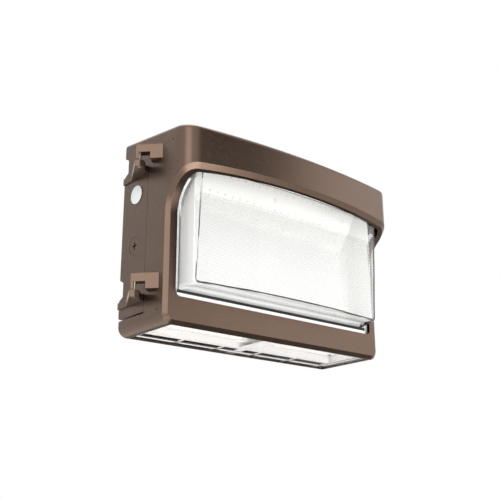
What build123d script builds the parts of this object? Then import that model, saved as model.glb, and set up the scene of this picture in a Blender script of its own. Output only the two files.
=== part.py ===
from build123d import *
import math
import os

# Wall pack light: a back box that stays on the wall and a hinged front housing with a bowed visor,
# a clear front lens and a clear lens underneath. Millimetres. X runs to the right as seen from in
# front, Y runs back into the wall, Z is up. The origin is the centre of the wall fixing pattern, on
# the back face, so the whole light lies at Y below 0.

# Driving dimensions
body_width = 360.0
body_bottom = -135.0  # underside of the skirt
roof_at_wall = 125.0  # height of the roof where it meets the wall
roof_angle = 8.0  # the roof falls towards the front, in degrees
box_depth = 56.4
front_depth = 101.5  # wall to the lower front face
visor_end_depth = 136.0
visor_mid_depth = 153.5
visor_corner = 25.0
sweep_radius = 43.0  # hollow curve from the pillars out to the visor
sweep_height = 1.0  # where that curve starts
sweep_turn = 50.0  # degrees of round curve before it runs on under the visor
lip_middle, lip_end = (-138.5, 50.5), (-175.0, 59.2)  # points under the visor, seen from the side
lip_top = 62.0  # height of the thicker lip inside the visor
lip_depth = 8.0
opening_half_width = 165.0
opening_bottom = -101.0
wall = 3.0
seam_gap = 0.6  # between the box and the front housing
skirt_top = -116.0
slit_gap = 2.0  # between the skirt and the box above it
top_fillet = 6.0
skirt_fillet = 12.0
edge_chamfer = 4.8
hinge_x, hinge_y = -197.5, -63.0  # pin axis
hinge_heights = (-92.5, 74.2)  # top faces of the box's hinge lugs
closure_x = 190.0
closure_heights = (-84.0, 84.0)
plug_y, plug_z = -31.0, -25.0
photocell_y, photocell_z = -32.0, 43.0
post_pitch = 64.2  # posts and clips of the bottom window

# Sizes worked out from them
half_width = body_width / 2
box_low = skirt_top + slit_gap
roof_slope = math.tan(math.radians(roof_angle))
rear_y = -box_depth - seam_gap  # rear face of the front housing
web_front, web_rear = -70.0, -67.0  # wall across the front housing that closes the lamp chamber
sweep_y = -front_depth - sweep_radius
visor_sag = visor_mid_depth - visor_end_depth
visor_radius = (half_width**2 + visor_sag**2) / (2 * visor_sag)


def roof(y):
    return roof_at_wall + roof_slope * y


# Basic shapes


def box_at(x0, x1, y0, y1, z0, z1):
    """Block between two corners."""
    centre = ((x0 + x1) / 2, (y0 + y1) / 2, (z0 + z1) / 2)
    return Pos(*centre) * Box(abs(x1 - x0), abs(y1 - y0), abs(z1 - z0))


def rod(start, end, radius):
    """Round bar between two points."""
    run = Vector(*end) - Vector(*start)
    return extrude(Plane(Vector(*start), z_dir=run) * Circle(radius), amount=run.length)


def slab(points, low, high):
    """Outline seen from above, between two heights."""
    face = make_face(Polyline(*points, close=True))
    return extrude(Plane.XY.offset(low) * face, amount=high - low)


def across(points, half=half_width):
    """Outline seen from the side, carried across the width."""
    face = make_face(Polyline(*points, close=True))
    return extrude(Plane.YZ * face, amount=half, both=True)


def sheet(points, thickness, half):
    """Sheet bent along a line seen from the side, carried across the width."""
    return extrude(Plane.YZ * trace(Polyline(*points), thickness), amount=half, both=True)


def bowed_plan(half, end_y, middle_y, back):
    """Outline seen from above with straight sides and a bowed front."""
    sides = Polyline((-half, end_y), (-half, back), (half, back), (half, end_y))
    return make_face(sides + ThreePointArc((-half, end_y), (0, middle_y), (half, end_y)))


def group(solids):
    return Compound(children=list(solids))


def along_y(edge):
    return abs(edge.tangent_at(0.5).Y) > 0.95


def upright(edge):
    return abs(edge.tangent_at(0.5).Z) > 0.95


def circles_at(body, centre):
    """Round edges of a body about a point."""
    return [e for e in body.edges().filter_by(GeomType.CIRCLE) if (e.arc_center - centre).length < 0.1]


def cross_slot(centre, outward, size, width, depth):
    """Cross slot in a face that looks outward, for a screw head or a plug."""
    seat = Plane(Vector(*centre), z_dir=Vector(*outward))
    cross = Rectangle(size, width) + Rectangle(width, size)
    return extrude(seat * cross, amount=-depth) + extrude(seat * cross, amount=0.5)


def screw(seat, way, head_radius, head_height, shank_radius, length, slot=0.9):
    """Pan-head screw: seat is the middle of the head's underside and way is the shank's direction."""
    seat, way = Vector(*seat), Vector(*way).normalized()
    top, tip = seat - way * head_height, seat + way * length
    head = rod(top, seat, head_radius)
    body = fillet(circles_at(head, top), head_height * 0.4) + rod(seat, tip, shank_radius)
    return body - cross_slot(top, way * -1, head_radius * 1.2, slot, head_height * 0.5)


# Front housing: outer shape, hollows, hinge arms and ears


def towards(point, degrees, distance):
    """Point moved a distance in a direction, both seen from the side."""
    turn = math.radians(degrees)
    return point[0] + distance * math.cos(turn), point[1] + distance * math.sin(turn)


def sweep_line(inset):
    """Hollow sweep from the pillars to the visor's lip, moved into the wall by an inset."""
    curve = CenterArc((sweep_y, sweep_height), sweep_radius + inset, 0, sweep_turn)
    heading = (sweep_turn, 59, 82)  # directions square to the line at the curve's end and under the visor
    middle, end = towards(lip_middle, heading[1], inset), towards(lip_end, heading[2], inset)
    tangents = [towards((0, 0), degrees + 90, 1) for degrees in (heading[0], heading[2])]
    return curve, Spline(curve @ 1, middle, end, tangents=tangents)


def housing_side_view(inset, rear, floor, with_skirt):
    """Side view of the front housing: floor, front face, hollow sweep, visor and sloping roof."""
    front = -front_depth + inset
    curve, lip = sweep_line(inset)
    far = lip @ 1
    foot = [(rear, skirt_top), (0, skirt_top), (0, floor)] if with_skirt else [(rear, floor)]
    outline = Polyline((far.X, far.Y), (far.X, roof(far.X) - inset), (rear, roof(rear) - inset), *foot,
                       (front, floor), (front, sweep_height))
    return make_face(Plane.YZ * (outline + curve + lip))


def visor_plan(front_inset, side_inset, corner):
    """Plan of the visor: straight sides, rounded corners and a bowed front."""
    x = half_width - side_inset
    radius = visor_radius - front_inset
    centre_y = visor_radius - visor_mid_depth
    face = bowed_plan(x, centre_y - math.sqrt(radius**2 - x**2), centre_y - radius, 10)
    return fillet(face.vertices().sort_by(Axis.Y)[:2], corner)


def raised(face, low, high):
    return extrude(Plane.XY.offset(low) * face, amount=high - low)


def housing_outside():
    """Outer shape as a solid, with a rounded roof edge, rounded skirt and chamfered front frame."""
    block = extrude(housing_side_view(0, rear_y, body_bottom, True), amount=half_width, both=True)
    skirt_edges = [e for e in block.edges() if along_y(e) and e.center().Z < body_bottom + 0.1]
    block = fillet(skirt_edges, skirt_fillet)
    block &= raised(visor_plan(0, 0, visor_corner), body_bottom - 1, roof_at_wall + 1)
    frame = [f for f in block.faces() if abs(f.center().Y + front_depth) < 0.1][0]
    rim = [e for e in frame.edges() if e.center().Z < sweep_height - 0.1]
    under = [f for f in block.faces() if 0 < f.center().Z < lip_top and f.center().Y < -front_depth - 1
             and abs(f.normal_at(f.center()).X) < 0.01 and f.area > 2000]
    for face in under:
        rim += [e for e in face.edges() if abs(e.center().X) > 1 or e.center().Y < -visor_end_depth]
    block = chamfer(rim, edge_chamfer)
    top = block.faces().sort_by(Axis.Z)[-1]
    block = fillet([e for e in top.edges() if e.center().Y < rear_y - 1], top_fillet)
    heel = [e for e in block.edges()
            if abs(e.center().Y) < 0.1 and abs(e.center().Z - body_bottom) < 0.1]
    return fillet(heel, 1.2)


def lens_opening():
    """Front opening between the pillars, up behind the visor's lip."""
    x, radius = opening_half_width, visor_radius - lip_depth
    centre_y = visor_radius - visor_mid_depth
    plan = bowed_plan(x, centre_y - math.sqrt(radius**2 - x**2), centre_y - radius, web_front)
    plan = fillet(plan.vertices().sort_by(Axis.Y)[:2], 12)
    cut = box_at(-x, x, -visor_mid_depth, web_front, opening_bottom, lip_top - 1)
    cut = fillet([e for e in cut.edges() if along_y(e) and e.center().Z < opening_bottom + 1], 7)
    return raised(plan, opening_bottom, lip_top) & cut


def lamp_chamber():
    """Hollow in front of the web, which runs up into the visor above its thicker lip."""
    side = housing_side_view(wall, web_front, skirt_top, False)
    hollow = extrude(side, amount=half_width - wall, both=True)
    behind_lip = raised(visor_plan(lip_depth, wall, visor_corner - 5), body_bottom, lip_top)
    above_lip = raised(visor_plan(3.5, wall, visor_corner - wall), lip_top, roof_at_wall)
    return hollow & (behind_lip + above_lip)


def rear_recess():
    """Recess behind the web, inside the rim that closes on the box's gasket."""
    rim = 10.0
    return across([(web_rear, box_low + rim), (0, box_low + rim), (0, roof(0) - rim),
                   (web_rear, roof(web_rear) - rim)], half_width - rim)


window_x, window_front, window_rear = 166.0, -95.1, -2.8  # rebate that takes the bottom lens
ledge = 6.0
shelf_bottom = skirt_top - wall


def bottom_window():
    """Stepped opening under the light: a rebate for the lens and the way up to the lamp boards."""
    rebate = box_at(-window_x, window_x, window_front, window_rear, body_bottom - 1, -130.6)
    inner = box_at(-window_x + ledge, window_x - ledge, window_front + ledge, window_rear - ledge,
                   -131, shelf_bottom)
    return rebate + inner


arm_gap, arm_height, lug_height = 0.8, 19.0, 8.5
pin_radius = 2.0
# Plans of the arm and of the slot up into it, measured from the pin axis
arm_plan = [(19.5, -25), (17.5, -25), (-6, -1.5), (-2.5, 4.7), (4.5, 4.7), (13, -4.5), (19.5, -4.5)]
slot_plan = [(-3.6, -3.9), (6.2, -13.7), (15, -4.9), (5.2, 4.9), (5.2, 11.5), (-3.6, 5.5)]
lug_plan = [(-178, 0), (-182, 0), (-182, -20), (-204, -62.5), (-199.5, -67.3), (-193, -67.3),
            (-183.5, -box_depth), (-178, -box_depth)]


def about_pin(points):
    return [(hinge_x + x, hinge_y + y) for x, y in points]


def hinge_arm(lug_top):
    """Arm that stands on the box's lug, open underneath so that it lifts off the pin."""
    low = lug_top + arm_gap
    arm = slab(about_pin(arm_plan), low, low + arm_height)
    arm -= slab(about_pin(slot_plan), low - 1, low + 9)
    return arm - rod((hinge_x, hinge_y, low), (hinge_x, hinge_y, low + arm_height - 3), pin_radius + 0.06)


ear_end, ear_depth, ear_seat = 198.0, 14.0, 2.7
screw_core, tapped_radius, clear_radius = 2.1, 2.5, 2.8


def closure_ear(z, near, far):
    """Ear for a closing screw on the right side, between two depths."""
    ear = box_at(178, ear_end, near, far, z - 8, z + 8)
    outer = [e for e in ear.edges() if along_y(e) and e.center().X > closure_x]
    return fillet(outer, 5)


lens_screws_side = [(side * 174.3, z) for side in (-1, 1) for z in (-62.0, -8.0)]
lens_screws_low = [(x, -110.6) for x in (-110.0, 0.0, 110.0)]
tray_screws = [(x, z) for x in (-125.0, 125.0) for z in (-72.0, 22.0)]
base_y = -64.5  # faces of the bosses that carry driver and surge protector
driver_screws_at = [(-67.0, 15.0), (117.0, 15.0)]
surge_screws_at = [(-146.0, 20.0), (-90.0, 20.0)]
top_lead_hole, low_lead_hole = (-20.0, 68.0), (-40.0, -95.0)
slant_low, slant_high = Vector(0, -76.0, 40.0), Vector(0, -102.5, 85.0)  # front of the upper board
slant = (slant_high - slant_low).normalized()
slant_back = Vector(0, slant.Z, -slant.Y)  # square to the board, away from its lit side
rib_places = (-130.0, 0.0, 130.0)


def slant_point(x, share, behind=0.0):
    """Point on the upper board's front plane, or behind it, at a share of its height."""
    at = slant_low + (slant_high - slant_low) * share + slant_back * behind
    return Vector(x, at.Y, at.Z)


def slanted_ribs():
    """Ribs inside the visor that the reflector's sloping part is screwed to."""
    low, high = slant_point(0, -0.1, 3.4), slant_point(0, 0.98, 3.4)
    outline = [(web_front - 1 + 1.5, low.Z), (low.Y, low.Z), (high.Y, high.Z),
               (high.Y, roof(high.Y) - 1), (web_front + 1.5, roof(web_front) - 1)]
    ribs = []
    for x in rib_places:
        rib = Pos(x, 0, 0) * across(outline, 3.5)
        ribs.append(rib - rod(slant_point(x, 0.5, 3.0), slant_point(x, 0.5, 10.0), 1.25))
    return ribs


def bosses():
    """Screw bosses inside the front housing: where each stands, its root, its face and its hole's end."""
    places = [(x, z, -front_depth + wall - 0.4, -95.2, -98) for x, z in lens_screws_side + lens_screws_low]
    places += [(x, z, web_front + 1, -72.0, -68.6) for x, z in tray_screws]
    places += [(x, z, web_rear - 1, base_y, -68.4) for x, z in driver_screws_at + surge_screws_at]
    return places


def front_housing():
    body = housing_outside()
    body -= lamp_chamber()
    body -= lens_opening()
    body -= rear_recess()
    body -= bottom_window()
    for lug_top in hinge_heights:
        body += hinge_arm(lug_top)
    for z in closure_heights:
        body += closure_ear(z, rear_y - ear_depth, rear_y)
        body -= rod((closure_x, rear_y - ear_depth - 1, z), (closure_x, rear_y + 1, z), clear_radius)
        body -= rod((closure_x, rear_y - ear_depth + ear_seat, z), (closure_x, rear_y + 1, z), 4.6)
    for y, z in [(-110, 92), (-86, -117.5)]:  # small blind holes in each side
        for side in (-1, 1):
            body -= rod((side * (half_width + 1), y, z), (side * (half_width - 1.8), y, z), 1.2)
    for x, z, root, face, hole in bosses():
        body += rod((x, root, z), (x, face, z), 3.0)
        body -= rod((x, face, z), (x, hole, z), 1.25)
    for rib in slanted_ribs():
        body += rib
    for x, z in (top_lead_hole, low_lead_hole):
        body -= rod((x, web_rear + 1, z), (x, web_front - 1, z), 5)
    for x in board_lead_holes:
        body -= rod((x, board_lead_y, skirt_top + 1), (x, board_lead_y, shelf_bottom - 1), 3)
    for x in bottom_board_screws_at:
        body -= rod((x, bottom_led_y, shelf_bottom - 1), (x, bottom_led_y, skirt_top + 1), 1.25)
    return body


# Back box and the seals it carries

rim_width, rim_depth = 10.0, 8.0
back_thickness = 3.5
wire_hole_radius = 14.0
corner_hole_radius = 3.3
corner_spacing_x, corner_spacing_z = 300.0, 160.0
junction_spacing, junction_hole_radius = 88.9, 2.6
entry_radius, entry_seat_radius = 10.4, 12.0
photocell_hole_radius = 10.3
terminal_x, terminal_z = -70.0, -62.0
ground_x, ground_z = 24.0, -74.0
terminal_screws_at = [(terminal_x - 18, terminal_z), (terminal_x + 18, terminal_z)]


def box_side_view(inset, rear, front):
    return [(rear, box_low + inset), (front, box_low + inset), (front, roof(front) - inset),
            (rear, roof(rear) - inset)]


def rim_ring(width, front, back):
    """Ring along the middle of the box's rim, between two depths."""
    outer, inner = rim_width / 2 - width / 2, rim_width / 2 + width / 2
    ring = across(box_side_view(outer, back, front), half_width - outer)
    return ring - across(box_side_view(inner, back + 1, front - 1), half_width - inner)


def hinge_lug(lug_top):
    lug = slab(lug_plan, lug_top - lug_height, lug_top)
    return fillet([e for e in lug.edges() if upright(e) and e.center().X < -190], 1)


def rear_notch(lug_top):
    """Pocket in the box's rear edge behind a hinge, with sloping ends."""
    low, high = lug_top + 2, lug_top + 30
    points = [(1, low), (-8, low + 5), (-8, high - 5), (1, high)]
    return Pos(-half_width + 3, 0, 0) * across(points, 7)


def back_box():
    body = across(box_side_view(0, 0, -box_depth))
    body = fillet([e for e in body.edges() if along_y(e) and e.center().Z > 0], top_fillet)
    heel = [e for e in body.edges() if abs(e.center().Y) < 0.1 and e.center().Z < box_low + 0.1]
    body = fillet(heel, 4)
    body -= across(box_side_view(wall, -back_thickness, -box_depth + rim_depth), half_width - wall)
    body -= across(box_side_view(rim_width, -back_thickness, -box_depth - 1), half_width - rim_width)
    body -= rim_ring(4.0, -box_depth - 1, -box_depth + 3)
    for side in (-1, 1):
        body += rod((side * (half_width - 1), plug_y, plug_z), (side * (half_width - 14), plug_y, plug_z), 16)
        body -= rod((side * (half_width + 1), plug_y, plug_z), (side * 150, plug_y, plug_z), entry_radius)
        body -= rod((side * (half_width + 1), plug_y, plug_z), (side * (half_width - 2.6), plug_y, plug_z),
                    entry_seat_radius)
    for lug_top in hinge_heights:
        body += hinge_lug(lug_top)
        body += box_at(-half_width + 1, -half_width + 16, -14, -1, lug_top - 3, lug_top + 35)
        body -= rear_notch(lug_top)
        body -= rod((hinge_x, hinge_y, lug_top - lug_height - 1), (hinge_x, hinge_y, lug_top + 1), pin_radius)
    for z in closure_heights:
        body += closure_ear(z, -box_depth, -box_depth + ear_depth)
        body -= rod((closure_x, -box_depth - 1, z), (closure_x, -box_depth + ear_depth + 1, z), tapped_radius)
    body -= rod((-half_width - 1, photocell_y, photocell_z), (-half_width + 10, photocell_y, photocell_z),
                photocell_hole_radius)
    for x, z in terminal_screws_at + [(ground_x, ground_z)]:
        body += rod((x, -back_thickness + 1, z), (x, -12, z), 4.5)
        body -= rod((x, -back_thickness - 0.5, z), (x, -13, z), 1.6)
    body -= rod((0, 1, 0), (0, -back_thickness - 1, 0), wire_hole_radius)
    body -= rod((0, 1, 0), (0, -1.2, 0), 30) - rod((0, 2, 0), (0, -2, 0), 18)
    holes = [(x, 0, junction_hole_radius) for x in (-junction_spacing / 2, junction_spacing / 2)]
    holes += [(x, z, corner_hole_radius) for x in (-corner_spacing_x / 2, corner_spacing_x / 2)
              for z in (-corner_spacing_z / 2, corner_spacing_z / 2)]
    for x, z, radius in holes:
        body -= rod((x, 1, z), (x, -back_thickness - 1, z), radius)
    return body


def box_gasket():
    return rim_ring(3.8, -box_depth + 0.2, -box_depth + 3) + rim_ring(2.2, -box_depth - 0.4, -box_depth + 3)


def wall_gasket():
    return rod((0, 0, 0), (0, -1.15, 0), 29.8) - rod((0, 1, 0), (0, -2, 0), 18.2)


# Fittings of the back box


def conduit_plugs():
    """Plugs with a flush head and a cross slot, one in each side entry."""
    plugs = []
    for side in (-1, 1):
        face, under, end = (Vector(side * (half_width - d), plug_y, plug_z) for d in (0, 2.0, 13))
        head = rod(face, under, entry_seat_radius - 0.2)
        head = fillet(circles_at(head, face), 0.6)
        plug = head + rod(under, end, entry_radius - 0.1) - rod(face * 0.5 + end * 0.5, end, 8)
        plugs.append(plug - cross_slot(face, (side, 0, 0), 10, 2.0, 1.7))
    return group(plugs)


def conduit_rings():
    rings = []
    for side in (-1, 1):
        outer, inner = (Vector(side * (half_width - d), plug_y, plug_z) for d in (2.0, 2.6))
        rings.append(rod(outer, inner, 11.7) - rod(outer, inner, entry_radius + 0.05))
    return group(rings)


def photocell_points(*depths):
    """Points on the photocell's axis, by distance outside the box's left wall."""
    return [Vector(-half_width - d, photocell_y, photocell_z) for d in depths]


def photocell_window():
    """Milky low dome over the photocell."""
    rim, shoulder, crown = photocell_points(0.6, 1.8, 3.6)
    dome_radius = (12**2 + 1.8**2) / (2 * 1.8)
    dome = Pos(*(crown + Vector(dome_radius, 0, 0))) * Sphere(dome_radius)
    return rod(rim, crown, 12) & dome


def photocell_base():
    """Hollow threaded barrel through the wall with the sensor's bottom plate."""
    top, low = photocell_points(0.6, -16)
    return rod(top, low, 10.1) - rod(*photocell_points(0.6, -13), 8.2)


def photocell_gasket():
    outer, inner = photocell_points(0.6, 0)
    return rod(outer, inner, 11.6) - rod(outer, inner, 10.2)


def photocell_nut():
    seat = Plane(photocell_points(-wall)[0], z_dir=(1, 0, 0))
    return extrude(seat * (RegularPolygon(14, 6) - Circle(10.15)), amount=5)


def hinge_pins():
    pins = []
    for lug_top in hinge_heights:
        tip = Vector(hinge_x, hinge_y, lug_top + arm_height - 3)
        pin = rod((hinge_x, hinge_y, lug_top - lug_height), tip, pin_radius)
        pins.append(chamfer(circles_at(pin, tip), 0.7))
    return group(pins)


def terminal_block():
    """Three-way terminal block on two bosses, with a wire funnel for each way."""
    block = box_at(terminal_x - 24, terminal_x + 24, -27, -12, terminal_z - 9, terminal_z + 9)
    block = fillet([e for e in block.edges() if along_y(e)], 1.5)
    for way in (-1, 0, 1):
        x = terminal_x + 10 * way
        block -= rod((x, -17.5, terminal_z - 10), (x, -17.5, terminal_z + 10), 2.0)
        block -= rod((x, -28, terminal_z), (x, -17.5, terminal_z), 2.6)
    for x, z in terminal_screws_at:
        block -= rod((x, -28, z), (x, -11, z), 1.8)
        block -= rod((x, -28, z), (x, -22, z), 3.2)
    return block


def terminal_screws():
    """Clamping screws of the three ways and the two screws that hold the block."""
    ways = [screw((terminal_x + 10 * way, -22, terminal_z), (0, 1, 0), 2.4, 2.2, 1.4, 2.6, 0.7)
            for way in (-1, 0, 1)]
    return group(ways + [screw((x, -22, z), (0, 1, 0), 3.0, 2.2, 1.55, 16) for x, z in terminal_screws_at])


def ground_screw():
    return screw((ground_x, -13, ground_z), (0, 1, 0), 4.2, 2.6, 1.55, 8)


def ground_tag():
    """Ring tag under the earth screw, with its crimp."""
    tag = rod((ground_x, -13, ground_z), (ground_x, -12, ground_z), 4.5)
    tag += box_at(ground_x, ground_x + 13, -13, -12, ground_z - 2, ground_z + 2)
    tag += rod((ground_x + 11, -14.2, ground_z), (ground_x + 19, -14.2, ground_z), 2.4)
    return tag - rod((ground_x, -14, ground_z), (ground_x, -11, ground_z), 1.7)


# Front lens, its seal and its fixings

lens_wall = 2.6
lens_half_width, lens_draft = 158.5, 0.2  # half width at the front face of the frame
lens_low, lens_low_slope = -94.5, 0.257
lens_front_low, lens_mid_depth, lens_lean = -86.6, 132.2, 0.0657
lens_bow_radius = 1305.0
flange_near, flange_far = 5.0, 8.0  # distances behind the frame's front surface
flange_half_width, flange_bottom = 170.0, -106.0


def behind_sweep(inset):
    """Everything behind the frame's front surface moved back by an inset."""
    return extrude(housing_side_view(inset, -50, body_bottom, False), amount=half_width, both=True)


def lens_body(inset):
    """Bulging body of the lens, moved in by a wall thickness for its hollow."""
    half, base = 165.0, -115.0
    middle = -lens_mid_depth + inset - lens_lean * (base - lens_front_low)
    bow = half**2 / (2 * lens_bow_radius)
    plan = Plane.XY.offset(base) * bowed_plan(half, middle + bow, middle, -40)
    front = extrude(plan, amount=190, dir=(0, -lens_lean, 1))
    near, far = -85.0, -160.0
    wide, narrow = (lens_half_width - inset + lens_draft * (y + front_depth) for y in (near, far))
    low, high = (lens_low + inset - lens_low_slope * (y + front_depth) for y in (near, far))
    sides = slab([(-wide, near), (-narrow, far), (narrow, far), (wide, near)], -120, 80)
    sides &= across([(near, low), (far, high), (far, 80), (near, 80)], 180)
    corners = [e for e in sides.edges() if along_y(e) and e.center().Z < 0]
    return front & chamfer(corners, 7 - inset)


def flange_window(reach):
    """Extent of the lens's flange in front view, or of what lies under it."""
    x, low = flange_half_width + reach, flange_bottom - reach
    window = box_at(-x, x, -126, -80, low, sweep_height + 46)
    return fillet([e for e in window.edges() if along_y(e) and e.center().Z < 0], 10)


def front_lens():
    flange = behind_sweep(flange_near) & flange_window(0)
    return lens_body(0) + flange - lens_body(lens_wall) - behind_sweep(flange_far)


def front_lens_gasket():
    """Seal between the frame and the flange, and a strip between the lip and the lens above it."""
    band = (behind_sweep(wall + 0.05) - behind_sweep(flange_near - 0.05)) & flange_window(0)
    return band - box_at(-opening_half_width, opening_half_width, -200, 0, opening_bottom, 100)


def lens_clips():
    """Clips screwed down on the flange along its sides and foot."""
    rear, front = -91.9, -93.4
    clips = []
    for x, z in lens_screws_side:
        inner = math.copysign(162, x)
        clips.append(box_at(inner, x + math.copysign(2.4, x), front, rear, z - 5, z + 5))
    for x, z in lens_screws_low:
        clips.append(box_at(x - 5, x + 5, front, rear, z - 3.5, z + 9))
    holes = [rod((x, front - 1, z), (x, rear + 1, z), 1.7) for x, z in lens_screws_side + lens_screws_low]
    return group([clip - hole for clip, hole in zip(clips, holes)])


def lens_screws():
    return group([screw((x, -91.9, z), (0, -1, 0), 2.6, 1.8, 1.2, 5, 0.7)
                  for x, z in lens_screws_side + lens_screws_low])


# Reflector and upper lamp board in the chamber

board_thickness = 1.6
upper_board_half = 146.0


def reflector_tray():
    """White tray: foot, back panel and sloping top from one bent sheet, with flared sides and cheeks."""
    knee = slant_point(0, -0.02, 2.4)
    foot, heel, top = (-92.0, -95.5), (knee.Y, -90.0), slant_point(0, 1.02, 2.4)
    tray = sheet([foot, heel, (knee.Y, knee.Z), (top.Y, top.Z)], 1.4, 150.5)
    for side in (-1, 1):
        flare = [(149.0, knee.Y), (150.6, knee.Y - 0.2), (156.0, -92.4), (154.4, -92.4)]
        tray += slab([(side * x, y) for x, y in flare], -92.0, 40)
        cheek = [(150.2, -86.0), (152.4, -86.0), (151.2, -118.0), (149.8, -118.0)]
        tray += slab([(side * x, y) for x, y in cheek], -84.0, 84.0)
    for x, z in tray_screws:
        tray -= rod((x, -80, z), (x, -70, z), 1.7)
    for x in rib_places:
        tray -= rod(slant_point(x, 0.5, 1.0), slant_point(x, 0.5, 5.0), 1.7)
    return tray


def tray_fixings():
    return group([screw((x, tray_face, z), (0, 1, 0), 3.0, 1.8, 1.2, 5.2) for x, z in tray_screws])


tray_face = slant_point(0, -0.02, 2.4).Y - 0.75


def slanted_plate(x0, x1, low, high, front, back):
    """Plate parallel to the upper board, placed by its shares of height and depths behind it."""
    corners = [slant_point(0, low, front), slant_point(0, high, front),
               slant_point(0, high, back), slant_point(0, low, back)]
    plate = across([(p.Y, p.Z) for p in corners], (x1 - x0) / 2)
    return Pos((x0 + x1) / 2, 0, 0) * plate


def upper_led_board():
    board = slanted_plate(-upper_board_half, upper_board_half, 0.02, 0.98, 0, board_thickness)
    for x in rib_places:
        board -= rod(slant_point(x, 0.5, -1), slant_point(x, 0.5, 3), 1.7)
    return board


def upper_board_screws():
    return group([screw(slant_point(x, 0.5, 0), slant_back, 3.0, 1.6, 1.2, 8) for x in rib_places])


def upper_led_chips():
    """Rows of lamps over the upper board, clear of its screws."""
    chips = []
    for share in (0.14, 0.28, 0.72, 0.86):
        for step in range(24):
            x = (step - 11.5) * 12.2
            chips.append(slanted_plate(x - 1.5, x + 1.5, share - 0.03, share + 0.03, -0.7, 0))
    return group(chips)


# Bottom lens, its reflector and its lamp boards

bottom_led_y = -37.0
bottom_board_depth = 16.0
bottom_board_screws_at = (-148.0, -14.0, 14.0, 148.0)
board_lead_holes, board_lead_y = (-24.0, 24.0), -80.0
pane_low, pane_high = -133.6, -131.1
slot_front, slot_rear = -28.0, -16.5
clip_places = [step * post_pitch for step in (-2.5, -1.5, -0.5, 0.5, 1.5, 2.5)]


def bottom_lens():
    """Clear pane in the rebate, with a raised bead around it."""
    pane = box_at(-window_x + 1.6, window_x - 1.6, window_front + 1.6, window_rear - 1.6, pane_low, pane_high)
    pane = fillet([e for e in pane.edges() if upright(e)], 2)
    for x in clip_places:
        for y in (window_front + 1.6, window_rear - 1.6):
            pane -= box_at(x - 4.4, x + 4.4, y - 2.6, y + 2.6, pane_low - 1, pane_low + 1.1)
    return pane


def bottom_lens_gasket():
    frame = box_at(-window_x + 0.6, window_x - 0.6, window_front + 0.6, window_rear - 0.6, pane_high, -130.6)
    inner = ledge - 1.0
    return frame - box_at(-window_x + inner, window_x - inner, window_front + inner, window_rear - inner,
                          -140, -120)


def bottom_lens_clips():
    """Spring clips along the front and rear of the bottom lens, each with a leg beside the pane."""
    clips = []
    for x in clip_places:
        for edge, inward in ((window_front, 1), (window_rear, -1)):
            foot = box_at(x - 4, x + 4, edge + inward * 0.2, edge + inward * 4.0, pane_low + 0.1, pane_low + 1.1)
            leg = box_at(x - 4, x + 4, edge + inward * 0.2, edge + inward * 1.2, pane_low + 0.1, -131.3)
            clips.append(foot + leg)
    return group(clips)


def bottom_reflector():
    """White frame over the bottom lens: lamp windows, and a row of slots between posts behind them."""
    front, rear, half = window_front + ledge + 0.6, window_rear - ledge - 0.6, window_x - ledge - 0.6
    low, high = -130.4, shelf_bottom - 0.1
    frame = box_at(-half, half, front, rear, low, high)
    frame -= box_at(-half + 1.8, half - 1.8, front + 1.8, rear - 1.8, low + 1.8, high + 1)
    for side in (-1, 1):
        frame -= box_at(side * 10, side * (half - 8), bottom_led_y - 6, bottom_led_y + 6, low - 1, low + 4)
    edges = [-half + 4] + [step * post_pitch for step in (-1.5, -0.5, 0.5, 1.5)] + [half - 4]
    for left, right in zip(edges, edges[1:]):
        frame -= box_at(left + 2.6, right - 2.6, slot_front, slot_rear, low - 1, low + 4)
    return frame


def bottom_board(side):
    """One of the two boards end to end under the shelf."""
    inner, outer = side * 6, side * 154
    board = box_at(inner, outer, bottom_led_y - bottom_board_depth / 2, bottom_led_y + bottom_board_depth / 2,
                   shelf_bottom - board_thickness, shelf_bottom)
    for x in bottom_board_screws_at:
        board -= rod((x, bottom_led_y, -130), (x, bottom_led_y, -110), 1.7)
    return board


def bottom_board_left():
    return bottom_board(-1)


def bottom_board_right():
    return bottom_board(1)


def bottom_board_screws():
    return group([screw((x, bottom_led_y, shelf_bottom - board_thickness), (0, 0, 1), 2.8, 1.6, 1.2, 4.4)
                  for x in bottom_board_screws_at])


def bottom_led_chips():
    low = shelf_bottom - board_thickness
    chips = []
    for side in (-1, 1):
        for step in range(19):
            x = side * (24 + step * 6.3)
            chips.append(box_at(x - 1.4, x + 1.4, bottom_led_y - 1.4, bottom_led_y + 1.4, low - 0.7, low))
    return group(chips)


# Electrical parts on the rear of the web

driver_low, driver_high = -15.0, 45.0
driver_left, driver_right = -60.0, 110.0


def cased_part(left, right, low, high, depth, screws_at):
    """Closed case on a base plate with a screw tab at each end."""
    case = box_at(left, right, base_y, base_y + depth, low, high)
    case = fillet([e for e in case.edges() if along_y(e)], 3)
    first, last = screws_at[0], screws_at[-1]
    plate = box_at(first[0] - 6, last[0] + 6, base_y, base_y + 1.5, first[1] - 9, first[1] + 9)
    case += plate
    for x, z in screws_at:
        case -= rod((x, base_y - 1, z), (x, base_y + 3, z), 1.8)
    return case


def led_driver():
    return cased_part(driver_left, driver_right, driver_low, driver_high, 30, driver_screws_at)


def surge_protector():
    return cased_part(-139, -97, 6, 34, 22, surge_screws_at)


def driver_screws():
    return group([screw((x, base_y + 1.5, z), (0, -1, 0), 3.0, 1.8, 1.2, 4.6)
                  for x, z in driver_screws_at + surge_screws_at])


def grommet(x, z):
    start, end = (x, web_rear + 1.4, z), (x, web_front - 1.4, z)
    body = rod((x, web_rear, z), (x, web_front, z), 4.9)
    body += rod(start, (x, web_rear, z), 7) + rod((x, web_front, z), end, 7)
    return body - rod(start, end, 3)


def lead_grommets():
    return group([grommet(x, z) for x, z in (top_lead_hole, low_lead_hole)])


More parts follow.
